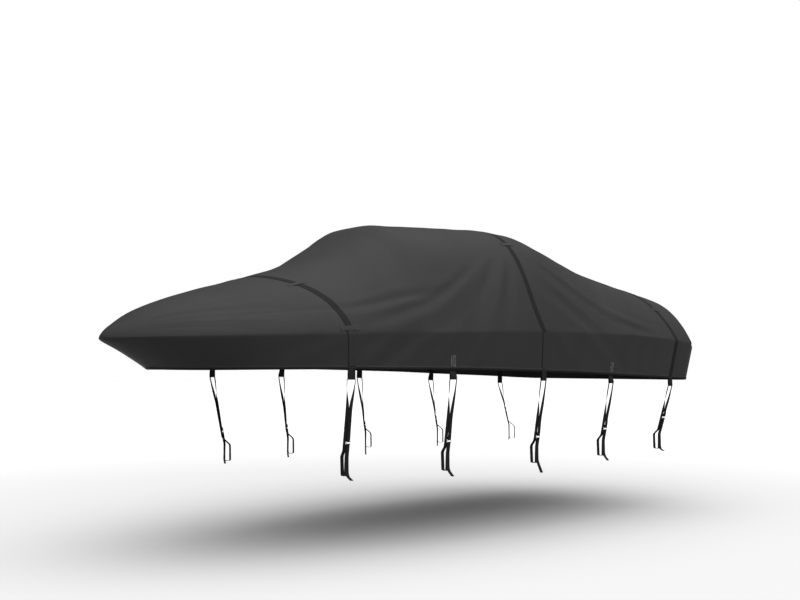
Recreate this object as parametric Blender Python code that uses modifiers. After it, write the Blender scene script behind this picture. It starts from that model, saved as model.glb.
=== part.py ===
"""Fitted boat cover for an open runabout of 5.5 m, with the webbing that holds it.

The cover is one hollow sheet of coated polyester: a raised middle over the
windshield and the cockpit, a sloping foredeck, and a skirt that hangs from the
gunwale crease down to the hem.  Three webbing cross-straps run over it, kept in
place by belt loops.  Below the hem hang ten tabs, five on each side, and through
each tab goes a tie: a long webbing strap with a metal buckle, which closes in a
loop that would go round a rail.

Metres.  +X points aft, -Y to port, +Z up.  The hull's own measures below start at
the tip of the bow; everything is then placed so that the origin is the point under
the top of the cover where its weight is carried.
"""
import math
from collections import namedtuple

import bpy
import numpy as np
from mathutils import Matrix

# ---------------------------------------------------------------- driving sizes
LENGTH = 5.50              # bow tip to transom, along the gunwale crease
HALF_BEAM = 1.15           # widest half width, at the crease
TRANSOM_HALF_BEAM = 1.10
ENTRY_LENGTH = 3.40        # from the bow tip to the widest place
ENTRY_FULLNESS = (2.2, 0.588)
CORNER_RADIUS = 0.20       # rounded stern corners, seen from above

CLOTH = 0.002              # sheet thickness
WEBBING = 0.0018           # thickness of straps, tabs and ties
GAP = 0.0005               # between pieces that lie on each other
SLACK = 0.0003             # added where a piece doesn't follow the facets below it

STRAP_WIDTH = 0.048        # cross-straps
TAB_WIDTH = 0.054
TIE_WIDTH = 0.0254         # one-inch webbing
TIE_GATHERED = 0.011       # the tie is drawn together where it passes the tab

KEEPER_LENGTH = 0.140      # belt loops, along the boat
KEEPER_WIDTH = 0.036
KEEPER_MARGIN = 0.012      # plain cloth between a belt loop's end and the next column
STRAP_CLEARANCE = 0.002    # a cross-strap ends this far above the hem

SUPPORT_STATION = 2.75     # where the cover is carried from below

# Cross-sections of the cover, one row for each station along the boat.
# crease: height of the gunwale crease; rise: height of the ridge above it;
# fullness and shoulder: exponents of the crown, (1 - across^fullness)^shoulder;
# hem: height of the lower edge; rake: how far aft of the crease the hem lies;
# tuck: half width of the hem, as a share of the crease's.
SECTION_COLUMNS = ("station", "crease", "rise", "fullness", "shoulder", "hem", "rake", "tuck")
SECTIONS = np.array([
    [0.00, 0.000, 0.000, 2.0, 0.60, -0.202, 0.33, 0.90],
    [0.12, 0.001, 0.107, 2.0, 0.60, -0.203, 0.28, 0.89],
    [0.30, 0.004, 0.213, 2.0, 0.60, -0.205, 0.22, 0.88],
    [0.80, 0.020, 0.360, 2.0, 0.60, -0.203, 0.08, 0.93],
    [1.38, 0.037, 0.504, 2.0, 0.60, -0.203, 0.02, 0.98],
    [1.60, 0.044, 0.575, 2.1, 0.65, -0.204, 0.00, 0.99],
    [1.85, 0.050, 0.704, 2.4, 0.75, -0.206, 0.00, 0.99],
    [2.00, 0.055, 0.786, 2.8, 0.82, -0.207, 0.00, 0.99],
    [2.12, 0.059, 0.868, 3.1, 0.88, -0.208, 0.00, 0.99],
    [2.28, 0.064, 0.867, 3.5, 0.95, -0.209, 0.00, 0.99],
    [2.80, 0.080, 0.875, 4.0, 1.00, -0.218, 0.00, 0.99],
    [3.14, 0.085, 0.881, 4.2, 1.00, -0.226, 0.00, 0.985],
    [3.36, 0.086, 0.874, 4.1, 1.00, -0.232, 0.00, 0.98],
    [3.60, 0.087, 0.822, 4.0, 1.00, -0.238, 0.00, 0.98],
    [4.20, 0.082, 0.639, 3.8, 1.00, -0.262, 0.00, 0.96],
    [5.04, 0.050, 0.496, 4.4, 1.00, -0.293, -0.02, 0.94],
    [5.30, 0.025, 0.456, 5.0, 1.00, -0.305, -0.03, 0.945],
    [5.42, 0.010, 0.320, 5.0, 1.00, -0.310, -0.035, 0.945],
    [5.50, 0.000, 0.000, 5.0, 1.00, -0.315, -0.04, 0.945],
])

# Cross-straps: station at the gunwale, and how far forward they bend at the ridge.
STRAPS = {"bow": (1.390, 0.25), "mid": (3.165, 0.00), "aft": (5.075, 0.30)}
BEND_EASE = 1.5

# Belt loops: the strap that each holds, and where it sits across (0 ridge, 1 crease).
KEEPERS = {"bow_upper": ("bow", 0.555), "bow_lower": ("bow", 0.984),
           "mid": ("mid", 0.660), "aft": ("aft", 0.825)}

# Soft folds of the cloth, from one point to another.  Each point is a station and
# its place along the cloth above (+) or below (-) the crease; radius and height
# are those of the fold, a trough where the height is negative.
Fold = namedtuple("Fold", "station_1 above_1 station_2 above_2 radius height")
FOLDS = [
    Fold(1.52, 0.36, 2.25, 0.34, 0.085, -0.014),
    Fold(3.02, 0.66, 2.62, 0.04, 0.090, 0.010),
    Fold(3.00, 0.60, 2.84, 0.02, 0.085, -0.008),
    Fold(3.32, 0.62, 3.62, 0.02, 0.085, 0.009),
    Fold(3.42, 0.62, 3.98, 0.04, 0.090, -0.009),
    Fold(1.62, 0.14, 2.02, -0.14, 0.080, 0.007),
    Fold(3.62, 0.06, 3.90, -0.16, 0.080, 0.007),
    Fold(4.20, 0.40, 4.62, 0.06, 0.090, -0.008),
    Fold(0.45, 0.34, 1.10, 0.42, 0.080, -0.007),
]
CLOTH_ABOVE_CREASE = 2.7   # metres of cloth for one unit of "across", near the crease
SKIRT_DEPTH = 0.27
FAR_SIDE_SHIFT = 0.07      # the folds of the starboard side lie a little further aft
FOLDS_FADE = 0.3           # folds die out over this length at the bow and at the stern

# Ties and tabs: station, heights of the merge of the two legs, of the buckle and
# of the tail's end, and how far inboard the tie leans on its way down.
Tie = namedtuple("Tie", "station merge buckle tail lean")
TIES = [
    Tie(1.390, -0.496, -0.714, -0.975, 0.130),
    Tie(2.220, -0.566, -0.729, -0.985, 0.090),
    Tie(3.165, -0.610, -0.739, -1.020, 0.090),
    Tie(4.080, -0.630, -0.716, -0.985, 0.100),
    Tie(5.075, -0.600, -0.655, -0.965, 0.135),
]
TIE_BOTTOM = -0.945        # where the ties pass under the rail that they go round
RAIL_HEIGHT = 0.135
RAIL_DEPTH = 0.062
TIE_HEADING = math.radians(22)  # the flat of each tie faces this far towards the bow

TAB_DROP = 0.072           # how far a tab hangs below the hem
TAB_HALF_LOOP = 0.009      # half the depth of the tab's loop, to its middle line
TAB_PARTS = 0.014          # below the hem the tab's two layers part here
TAB_OPEN = 0.054           # and stand fully apart here
TAB_CORNER = 0.0025        # the cut-off corners of its floor
SEWN_TAB_TOP = 0.105       # a tab that is sewn to the skirt reaches this far up it
STRAP_TAB_TOP = 0.018      # one at the end of a cross-strap laps the strap this far

BUCKLE_WIDTH = 0.036
BUCKLE_WINDOW = 0.030      # clear width for the webbing
BUCKLE_WINDOW_HEIGHT = 0.008
BUCKLE_OUTER_BAR = 0.005
BUCKLE_MIDDLE_BAR = 0.003
BUCKLE_THICKNESS = 0.003
BUCKLE_CORNER = 0.004      # its corners are cut off this much
BUCKLE_OFFSET = 0.0068     # its plane, in front of the tie's rear strand
BUCKLE_CLEARANCE = 0.0012  # between its bars and the webbing that goes round them
LEG_SPREAD = 0.030         # the two legs of the tie beside the tab
STRAND_SPREAD = 0.011      # the two strands of the tie, side by side
CORNER_BEND = 0.0035       # radius of the tie's bend beside the tab
STRAND_LAP = 0.0034        # the front strand lies this far in front of the rear one
SEWN_END = 0.022           # the end that is turned back round the buckle's top bar
RAIL_BEND = 0.012          # radius of the tie's bends under the rail
TAIL_LAP = 0.0042          # the free tail lies this far in front of the loop
# The end of the free tail: how far aside, in front of the lap, and above TIE_BOTTOM.
TAIL_END = [(0.001, 0.0, 0.022), (0.008, 0.0038, -0.004)]
TAIL_KICK = (0.032, 0.0138)     # its tip: how far aside and in front of the lap


# ---------------------------------------------------------------- small helpers
def smooth(t):
    """Ease from 0 to 1: 3t^2 - 2t^3."""
    t = np.clip(t, 0.0, 1.0)
    return t * t * (3.0 - 2.0 * t)


def lerp(start, end, t):
    return start + (end - start) * t


def material(name, colour, roughness, metallic=0.0):
    """A Principled material in linear RGB."""
    made = bpy.data.materials.new(name)
    made.use_nodes = True
    shader = made.node_tree.nodes["Principled BSDF"]
    shader.inputs["Base Color"].default_value = (*colour, 1.0)
    shader.inputs["Roughness"].default_value = roughness
    shader.inputs["Metallic"].default_value = metallic
    made.diffuse_color = (*colour, 1.0)
    return made


def sheet_object(name, points, faces, thickness, grow, finish):
    """A mesh from an open surface, given its thickness by Solidify.

    grow is -1 where the surface is the outer face, 0 for the middle, 1 for the inner.
    """
    mesh = bpy.data.meshes.new(name)
    mesh.from_pydata([tuple(p) for p in points], [], faces)
    mesh.materials.append(finish)
    made = bpy.data.objects.new(name, mesh)
    parts.objects.link(made)
    made.parent = hull_frame
    solid = made.modifiers.new("Thickness", "SOLIDIFY")
    solid.thickness = thickness
    solid.offset = grow
    solid.use_even_offset = True
    mesh.shade_smooth()
    mesh.set_sharp_from_angle(angle=math.radians(40))
    return made


def ribbon(name, left, right, thickness, grow, finish):
    """A band between two edge lines of equal length."""
    count = len(left)
    points = np.concatenate([left, right])
    faces = [(i + count, i + count + 1, i + 1, i) for i in range(count - 1)]
    return sheet_object(name, points, faces, thickness, grow, finish)


# ---------------------------------------------------------------- the cover's form
def section(station):
    """The columns of SECTIONS at each station, by a monotone cubic between rows."""
    rows = SECTIONS[:, 0]
    values = SECTIONS[:, 1:]
    width = np.diff(rows)[:, None]
    rate = np.diff(values, axis=0) / width
    slope = np.zeros_like(values)
    slope[0] = rate[0]
    slope[-1] = rate[-1]
    before = 2 * width[1:] + width[:-1]
    after = width[1:] + 2 * width[:-1]
    same_way = rate[:-1] * rate[1:] > 0
    safe_1 = np.where(same_way, rate[:-1], 1.0)
    safe_2 = np.where(same_way, rate[1:], 1.0)
    slope[1:-1] = np.where(same_way, (before + after) / (before / safe_1 + after / safe_2), 0.0)

    station = np.clip(np.asarray(station, float), rows[0], rows[-1])
    row = np.clip(np.searchsorted(rows, station, side="right") - 1, 0, len(rows) - 2)
    span = (rows[row + 1] - rows[row])[..., None]
    t = ((station - rows[row]) / (rows[row + 1] - rows[row]))[..., None]
    cubic = ((2 * t**3 - 3 * t**2 + 1) * values[row] + (t**3 - 2 * t**2 + t) * span * slope[row]
             + (3 * t**2 - 2 * t**3) * values[row + 1] + (t**3 - t**2) * span * slope[row + 1])
    return {name: cubic[..., i] for i, name in enumerate(SECTION_COLUMNS[1:])}


def half_beam(station):
    """Half width of the gunwale crease: a full entry, a slight taper, round corners."""
    power, root = ENTRY_FULLNESS
    ahead = np.clip(1.0 - station / ENTRY_LENGTH, 0.0, 1.0)
    width = HALF_BEAM * (1.0 - ahead**power)**root
    aft = np.clip((station - ENTRY_LENGTH) / (LENGTH - ENTRY_LENGTH), 0.0, 1.0)
    width = width - (HALF_BEAM - TRANSOM_HALF_BEAM) * aft**2
    corner = np.clip((station - (LENGTH - CORNER_RADIUS)) / CORNER_RADIUS, 0.0, 1.0)
    return width - CORNER_RADIUS * (1.0 - np.sqrt(1.0 - corner**2))


def relief(station, above, across):
    """Height of the soft folds: a rounded ridge or trough along each fold's line."""
    height = np.zeros(np.broadcast(station, above, across).shape)
    shifted = station - FAR_SIDE_SHIFT * (across < 0)
    for fold in FOLDS:
        run = np.array([fold.station_2 - fold.station_1, fold.above_2 - fold.above_1])
        past = shifted - fold.station_1
        over = above - fold.above_1
        along = (past * run[0] + over * run[1]) / (run @ run)
        aside = (past * run[1] - over * run[0]) / math.hypot(*run)
        ends = smooth((along + 0.25) / 0.5) * smooth((1.25 - along) / 0.5)
        height += fold.height * ends * np.exp(-(aside / fold.radius)**2)
    return height


def top_point(station, across):
    """A point of the cover above the crease; across runs from -1 to 1, 1 is port."""
    values = section(station)
    side = np.abs(across)
    height = values["crease"] + values["rise"] * (1.0 - side**values["fullness"])**values["shoulder"]
    fold = relief(station, CLOTH_ABOVE_CREASE * (1.0 - side), across)
    fold = fold * smooth(station / FOLDS_FADE) * smooth((LENGTH - station) / FOLDS_FADE)
    out = -half_beam(station) * across - np.sign(across) * fold * side
    return np.stack([station + 0.0 * height, out, height + fold * np.sqrt(1.0 - side**2)], axis=-1)


def skirt_point(station, across, down):
    """A point of the skirt; down runs from 0 at the crease to 1 at the hem."""
    values = section(station)
    fold = relief(station, -SKIRT_DEPTH * down, across) * smooth((LENGTH - station) / FOLDS_FADE)
    crease_y = -half_beam(station) * across
    x = station + values["rake"] * down
    y = crease_y * lerp(1.0, values["tuck"], down) - np.sign(across) * fold
    return np.stack([x, y, lerp(values["crease"], values["hem"], down)], axis=-1)


def grid_stations():
    """Stations of the grid's columns at the crease, with one at each strap's edge."""
    half = STRAP_WIDTH / 2
    beside = KEEPER_LENGTH / 2 + KEEPER_MARGIN
    bow, mid, aft = (STRAPS[name][0] for name in ("bow", "mid", "aft"))
    return np.concatenate([
        [0.0, 0.03, 0.09],
        np.linspace(0.18, bow - beside, 8),
        [bow - half, bow + half],
        np.linspace(bow + beside, mid - beside, 16),
        [mid - half, mid + half],
        np.linspace(mid + beside, aft - beside, 15),
        [aft - half, aft + half],
        [aft + beside, 5.24, 5.32, 5.39, 5.445, 5.485, LENGTH],
    ])


ROWS_HALF = np.array([0.0, 0.13, 0.26, 0.39, 0.50, 0.61, 0.71, 0.79, 0.86, 0.92, 0.968, 1.0])
ROWS = np.concatenate([-ROWS_HALF[:0:-1], ROWS_HALF])
SKIRT_ROWS = np.array([0.0, 0.34, 0.67, 1.0])
STATIONS = grid_stations()


def bent(station, across):
    """The grid's lines bend forward at the ridge, as the cross-straps do."""
    half = STRAP_WIDTH / 2
    (bow, bow_bend), (mid, _), (aft, aft_bend) = STRAPS.values()
    knots = [0.0, bow - half, bow + half, 2.3, mid, 4.2, aft - half, aft + half, LENGTH]
    bends = [0.0, bow_bend, bow_bend, 0.0, 0.0, 0.0, aft_bend, aft_bend, 0.0]
    return station - np.interp(station, knots, bends) * (1.0 - across**2)**BEND_EASE


def cover_grids():
    """The top as columns by rows, and the skirt of each side as columns by rows."""
    column, row = np.meshgrid(STATIONS, ROWS, indexing="ij")
    top = top_point(bent(column, row), row)
    column, down = np.meshgrid(STATIONS, SKIRT_ROWS, indexing="ij")
    skirts = {side: skirt_point(column, float(side), down) for side in (1, -1)}
    across, down = np.meshgrid(ROWS[::-1], SKIRT_ROWS, indexing="ij")
    transom = skirt_point(np.full_like(across, LENGTH), across, down)
    return top, skirts, transom


def cover_cloth(top, skirts, transom, finish):
    """The whole cover as one open surface, with thickness to its inside."""
    columns, rows = top.shape[:2]
    index = np.zeros((columns, rows), int)
    index[1:] = 1 + np.arange((columns - 1) * rows).reshape(columns - 1, rows)
    points = [top[0, :1], top[1:].reshape(-1, 3)]
    faces = [(0, index[1, j + 1], index[1, j]) for j in range(rows - 1)]
    faces += [(index[i, j], index[i, j + 1], index[i + 1, j + 1], index[i + 1, j])
              for i in range(1, columns - 1) for j in range(rows - 1)]

    # The skirt hangs from the whole edge: port side, transom, starboard side.
    edge = np.concatenate([index[:, -1], index[-1, -2:0:-1], index[::-1, 0]])
    hang = np.concatenate([skirts[1], transom[1:-1], skirts[-1][::-1]])
    loop = len(edge)
    below = 1 + (columns - 1) * rows
    skirt = np.empty((loop, len(SKIRT_ROWS)), int)
    skirt[:, 0] = edge
    skirt[:-1, 1:] = below + np.arange((loop - 1) * (len(SKIRT_ROWS) - 1)).reshape(loop - 1, -1)
    skirt[-1, 1:] = skirt[0, 1:]            # both sides meet in the stem
    points.append(hang[:-1, 1:].reshape(-1, 3))
    faces += [(skirt[k, d], skirt[k, d + 1], skirt[k + 1, d + 1], skirt[k + 1, d])
              for k in range(loop - 1) for d in range(len(SKIRT_ROWS) - 1)]
    return sheet_object("cover_cloth", np.concatenate(points), faces, CLOTH, -1.0, finish)


# ---------------------------------------------------------------- what lies on it
def facing_out(normal, point):
    """Unit normals, turned away from the inside of the cover."""
    inside = point * [1, 0, 0] + [0, 0, -0.3]
    normal = normal / np.linalg.norm(normal, axis=-1, keepdims=True)
    return normal * np.sign((normal * (point - inside)).sum(-1, keepdims=True))


def facet(grid, column, row):
    """Points of the grid's flat facets at fractional places, with their normals."""
    column, row = np.broadcast_arrays(np.asarray(column, float), np.asarray(row, float))
    i = np.clip(column.astype(int), 0, grid.shape[0] - 2)
    j = np.clip(row.astype(int), 0, grid.shape[1] - 2)
    u, v = (column - i)[..., None], (row - j)[..., None]
    a, b = grid[i, j], grid[i + 1, j]
    c, d = grid[i, j + 1], grid[i + 1, j + 1]
    point = a * (1 - u) * (1 - v) + b * u * (1 - v) + c * (1 - u) * v + d * u * v
    return point, facing_out(np.cross(lerp(b - a, d - c, v), lerp(c - a, d - b, u)), point)


def mitred(left, right):
    """Normals along a band that keep its facets at an even distance from its base."""
    across = right - left
    middle = (left + right) / 2
    along = np.diff(middle, axis=0)
    flat = facing_out(np.cross((across[:-1] + across[1:]) / 2, along), (middle[:-1] + middle[1:]) / 2)
    first = np.concatenate([flat[:1], flat])
    second = np.concatenate([flat, flat[-1:]])
    return (first + second) / (1.0 + (first * second).sum(-1, keepdims=True))


def cross_strap(name, top, skirts, finish):
    """Webbing from hem to hem, on the facets between two columns of the grid."""
    first = int(np.argmin(np.abs(STATIONS - (STRAPS[name][0] - STRAP_WIDTH / 2))))
    clear = 1.0 - STRAP_CLEARANCE / SKIRT_DEPTH

    def edge(column):
        port = skirts[1][column].copy()
        port[-1] = lerp(port[0], port[-1], clear)
        starboard = skirts[-1][column].copy()
        starboard[-1] = lerp(starboard[0], starboard[-1], clear)
        return np.concatenate([starboard[:0:-1], top[column], port[1:]])

    fore, aft = edge(first), edge(first + 1)
    normal = mitred(fore, aft)
    return ribbon("strap_" + name, aft + normal * GAP, fore + normal * GAP, WEBBING, 1.0, finish)


def keeper(name, side, top, finish):
    """A belt loop: flat on the cloth at both ends, and raised over its strap."""
    strap, across = KEEPERS[name]
    first = int(np.argmin(np.abs(STATIONS - (STRAPS[strap][0] - STRAP_WIDTH / 2))))
    row = np.interp(side * across, ROWS, np.arange(len(ROWS)))
    half_strap = STRAP_WIDTH / 2
    low, high = GAP + SLACK, 2 * GAP + WEBBING + SLACK
    stretch = np.array([-1.0, -0.50, -0.39, 0.39, 0.50, 1.0]) * KEEPER_LENGTH / 2
    height = np.array([low, low, high, high, low, low])
    beside = KEEPER_LENGTH / 2 + KEEPER_MARGIN - half_strap
    column = first + np.where(
        np.abs(stretch) < half_strap, (stretch + half_strap) / STRAP_WIDTH,
        np.where(stretch < 0, (stretch + half_strap) / beside, 1 + (stretch - half_strap) / beside))
    cell = np.linalg.norm(np.diff(facet(top, first + 0.5, np.array([int(row), int(row) + 1]))[0], axis=0))
    edges = []
    for end in (-1, 1):
        point, normal = facet(top, column, row + end * KEEPER_WIDTH / 2 / cell)
        edges.append(point + normal * height[:, None])
    label = "port" if side > 0 else "starboard"
    return ribbon("keeper_%s_%s" % (name, label), edges[0], edges[1], WEBBING, 1.0, finish)


# ---------------------------------------------------------------- tabs, ties, buckles
def hem_frame(station, side, skirts):
    """Centre of a tab at the hem, with the directions along it and outwards, level."""
    column = np.interp([station - TAB_WIDTH / 2, station, station + TAB_WIDTH / 2],
                       STATIONS, np.arange(len(STATIONS)))
    edge, _ = facet(skirts[side], column, np.full(3, len(SKIRT_ROWS) - 1.0))
    along = (edge[2] - edge[0]) * [1, 1, 0]
    along /= np.linalg.norm(along)
    outward = np.array([-along[1], along[0], 0.0])
    outward *= -side * np.sign(outward[1])
    return edge[1], along, outward


def tab(number, side, skirts, finish):
    """A folded loop of webbing: sewn outside the skirt, hanging, and sewn inside it."""
    station = TIES[number].station
    on_strap = number % 2 == 0
    centre, along, outward = hem_frame(station, side, skirts)
    base = GAP + WEBBING / 2 + (WEBBING + GAP if on_strap else SLACK)
    inside = -(CLOTH + GAP + SLACK + WEBBING / 2)
    reach = STRAP_TAB_TOP if on_strap else SEWN_TAB_TOP
    half = TAB_HALF_LOOP
    # Below the hem: distance outwards and distance down, round the loop.
    wall_end = TAB_DROP - TAB_CORNER
    floor = half - TAB_CORNER
    hanging = np.array([
        [base, 0.0], [base + GAP, TAB_PARTS], [half, TAB_OPEN], [half, wall_end],
        [floor, TAB_DROP], [-floor, TAB_DROP],
        [-half, wall_end], [-half, TAB_OPEN], [inside - GAP, TAB_PARTS], [inside, 0.0]])
    edges = []
    for end in (-1, 1):
        column = np.interp(station + end * TAB_WIDTH / 2, STATIONS, np.arange(len(STATIONS)))
        depth = section(station)["crease"] - section(station)["hem"]
        up = np.array([reach, reach / 2, 0.0]) / depth * (len(SKIRT_ROWS) - 1)
        sewn, normal = facet(skirts[side], column, len(SKIRT_ROWS) - 1 - up)
        outer = (sewn + normal * base)[:2]
        inner = (sewn + normal * inside)[1:2] if not on_strap else (sewn + normal * inside)[:1]
        free = (centre + along * end * TAB_WIDTH / 2 + hanging[:, :1] * outward
                + hanging[:, 1:] * [0, 0, -1])
        edges.append(np.concatenate([outer, free, inner]))
    label = "port" if side > 0 else "starboard"
    return ribbon("tab_%d_%s" % (number + 1, label), edges[0], edges[1], WEBBING, 0.0, finish)


def arc(centre_across, centre_up, radius, start, end, steps):
    """Points of a round bend, as two arrays; the angles are in degrees."""
    angle = np.radians(np.linspace(start, end, steps))
    return centre_across + radius * np.cos(angle), centre_up + radius * np.sin(angle)


def tie_route(seat, merge, buckle, tail):
    """Middle line of a tie: aside, in front, height, turn of its width, width.

    It starts with its end sewn round the buckle's top bar, climbs the front strand,
    passes through the tab, comes down the rear strand, goes behind and under the
    rail, and comes up to the buckle's lower bar, where its free tail hangs over.
    """
    rows = []

    def stretch(aside, front, height, turn, width):
        block = np.broadcast_arrays(*map(np.atleast_1d, (aside, front, height, turn, width)))
        rows.append(np.stack(block, axis=-1).astype(float))

    bar = BUCKLE_WINDOW_HEIGHT + (BUCKLE_OUTER_BAR + BUCKLE_MIDDLE_BAR) / 2
    upper_bar, lower_bar = buckle + bar, buckle - bar
    fold = BUCKLE_THICKNESS / 2 + WEBBING / 2 + BUCKLE_CLEARANCE
    right, left = STRAND_SPREAD, -STRAND_SPREAD
    behind, before = BUCKLE_OFFSET - fold, BUCKLE_OFFSET + fold

    # The sewn end behind the buckle, round its top bar and up to the merge.
    stretch(right, behind, upper_bar + SEWN_END, 0, TIE_WIDTH)
    front, height = arc(BUCKLE_OFFSET, upper_bar - BUCKLE_OUTER_BAR / 2, fold, 180, 360, 4)
    stretch(right, front, height, 0, TIE_WIDTH)
    stretch(right, before, upper_bar + 1.4 * SEWN_END, 0, TIE_WIDTH)
    # The front leg, twisting from flat to edge on.
    rise = np.array([0.0, 0.2, 0.4, 0.6, 0.8, 0.93])
    corner = seat - CORNER_BEND
    stretch(lerp(right, LEG_SPREAD, smooth(rise)), lerp(STRAND_LAP, 0.0, rise), lerp(merge, corner, rise),
            90 * smooth(rise), lerp(TIE_WIDTH, TIE_GATHERED, smooth(rise)))
    # Through the tab.
    turn_in = LEG_SPREAD - CORNER_BEND
    aside, height = arc(turn_in, corner, CORNER_BEND, 0, 90, 3)
    stretch(aside, 0.0, height, 90, TIE_GATHERED)
    aside, height = arc(-turn_in, corner, CORNER_BEND, 90, 180, 3)
    stretch(aside, 0.0, height, 90, TIE_GATHERED)
    # The rear leg, twisting the same way round until it is flat again.
    fall = 1.0 - rise[::-1]
    stretch(lerp(-LEG_SPREAD, left, smooth(fall)), 0.0, lerp(corner, merge, fall),
            90 + 90 * smooth(fall), lerp(TIE_GATHERED, TIE_WIDTH, smooth(fall)))
    # Down behind the rail, under it, and up in front of it.
    back = behind - RAIL_DEPTH
    rail_top = TIE_BOTTOM + RAIL_HEIGHT
    away = np.array([0.0, 0.35, 0.65, 1.0])
    stretch(lerp(left, -0.005, away), lerp(0.0, back, smooth(away)),
            lerp(rail_top + 0.055, rail_top - 0.015, away), 180, TIE_WIDTH)
    front, height = arc(back + RAIL_BEND, TIE_BOTTOM + RAIL_BEND, RAIL_BEND, 180, 270, 3)
    stretch(-0.002, front, height, 180, TIE_WIDTH)
    front, height = arc(behind - RAIL_BEND, TIE_BOTTOM + RAIL_BEND, RAIL_BEND, 270, 360, 3)
    stretch(0.004, front, height, 180, TIE_WIDTH)
    # Round the lower bar, and the free tail down in front.
    front, height = arc(BUCKLE_OFFSET, lower_bar + BUCKLE_OUTER_BAR / 2, fold, 180, 0, 5)
    stretch(right, front, height, 180, TIE_WIDTH)
    stretch(right, before, lower_bar - 0.012, 180, TIE_WIDTH)
    lap = behind + TAIL_LAP
    stretch(right, lap, lerp(lower_bar, TIE_BOTTOM, 0.55), 180, TIE_WIDTH)
    for more_aside, more_front, above in TAIL_END:
        stretch(right + more_aside, lap + more_front, TIE_BOTTOM + above, 180, TIE_WIDTH)
    stretch(right + TAIL_KICK[0], lap + TAIL_KICK[1], tail, 180, TIE_WIDTH)
    return np.concatenate(rows)


def tie_place(number, side, skirts):
    """How a tie's own measures turn into places: returns a function of route rows."""
    merge, lean = TIES[number].merge, TIES[number].lean
    centre, along, outward = hem_frame(TIES[number].station, side, skirts)
    seat = centre[2] - TAB_DROP + WEBBING + GAP
    full_twist = TIE_HEADING - math.atan2(-side * along[1], along[0])
    rail_top = TIE_BOTTOM + RAIL_HEIGHT

    def place(aside, front, height, turn=0.0):
        """World points, and the level direction of the tie's width there."""
        twist = full_twist * smooth((seat - height) / (seat - merge))
        width_angle = twist + np.radians(turn)
        inboard = lean * np.clip((seat - height) / (seat - rail_top), 0.0, 1.0)
        out = aside * np.sin(twist) + front * np.cos(twist) - inboard
        run = aside * np.cos(twist) - front * np.sin(twist)
        point = centre * [1, 1, 0] + run[..., None] * along + out[..., None] * outward
        point[..., 2] = height
        width = (np.cos(width_angle)[..., None] * along + np.sin(width_angle)[..., None] * outward)
        return point, width

    return seat, place


def tie(number, side, skirts, finish):
    """A webbing strap along its route."""
    seat, place = tie_place(number, side, skirts)
    row = TIES[number]
    aside, front, height, turn, width = tie_route(seat, row.merge, row.buckle, row.tail).T
    point, direction = place(aside, front, height, turn)
    half = direction * width[:, None] / 2
    label = "port" if side > 0 else "starboard"
    return ribbon("tie_%d_%s" % (number + 1, label), point - half, point + half, WEBBING, 0.0, finish)


def buckle_mesh(finish):
    """A flat plate with two windows, as a filled outline."""
    bar = BUCKLE_WINDOW_HEIGHT + (BUCKLE_OUTER_BAR + BUCKLE_MIDDLE_BAR) / 2
    half_width = BUCKLE_WIDTH / 2
    half_height = bar + BUCKLE_OUTER_BAR / 2
    cut = BUCKLE_CORNER
    outline = [(half_width, half_height - cut), (half_width - cut, half_height),
               (cut - half_width, half_height), (-half_width, half_height - cut),
               (-half_width, cut - half_height), (cut - half_width, -half_height),
               (half_width - cut, -half_height), (half_width, cut - half_height)]
    low, high = BUCKLE_MIDDLE_BAR / 2, BUCKLE_MIDDLE_BAR / 2 + BUCKLE_WINDOW_HEIGHT
    inner = BUCKLE_WINDOW / 2
    windows = [[(-inner, a), (-inner, b), (inner, b), (inner, a)] for a, b in ((low, high), (-high, -low))]
    curve = bpy.data.curves.new("buckle_outline", "CURVE")
    curve.dimensions = "2D"
    curve.fill_mode = "BOTH"
    curve.extrude = BUCKLE_THICKNESS / 2
    for points in (outline, *windows):
        spline = curve.splines.new("POLY")
        spline.points.add(len(points) - 1)
        for slot, (x, y) in zip(spline.points, points):
            slot.co = (x, y, 0.0, 1.0)
        spline.use_cyclic_u = True
    curve.materials.append(finish)
    return curve


def buckle(number, side, skirts, outline):
    """One buckle, in the plane between the tie's front strand and its tail."""
    _, place = tie_place(number, side, skirts)
    level = TIES[number].buckle
    centre, width = place(np.array(STRAND_SPREAD), np.array(BUCKLE_OFFSET), np.array(level))
    above, _ = place(np.array(STRAND_SPREAD), np.array(BUCKLE_OFFSET), np.array(level + 0.01))
    up = above - centre
    up -= width * (up @ width)
    up /= np.linalg.norm(up)
    label = "port" if side > 0 else "starboard"
    made = bpy.data.objects.new("buckle_%d_%s" % (number + 1, label), outline)
    turn = np.eye(4)
    turn[:3, :3] = np.stack([width, up, np.cross(width, up)], axis=1)
    turn[:3, 3] = centre
    parts.objects.link(made)
    made.parent = hull_frame
    made.matrix_local = Matrix(turn.tolist())
    return made


# ---------------------------------------------------------------- the whole cover
for old in list(bpy.data.objects):
    bpy.data.objects.remove(old)

parts = bpy.data.collections.new("boat_cover")
bpy.context.scene.collection.children.link(parts)

support = top_point(np.array(SUPPORT_STATION), np.array(0.0))
hull_frame = bpy.data.objects.new("hull_frame", None)
hull_frame.location = (-SUPPORT_STATION, 0.0, CLOTH - float(support[2]))
parts.objects.link(hull_frame)

cloth = material("coated_polyester", (0.045, 0.045, 0.046), 0.62)
webbing = material("black_webbing", (0.018, 0.018, 0.019), 0.75)
steel = material("nickel_plated_steel", (0.62, 0.62, 0.60), 0.30, 1.0)

top_grid, skirt_grids, transom_grid = cover_grids()
cover_cloth(top_grid, skirt_grids, transom_grid, cloth)
for strap_name in STRAPS:
    cross_strap(strap_name, top_grid, skirt_grids, webbing)
for keeper_name in KEEPERS:
    for hand in (1, -1):
        keeper(keeper_name, hand, top_grid, cloth)

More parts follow.
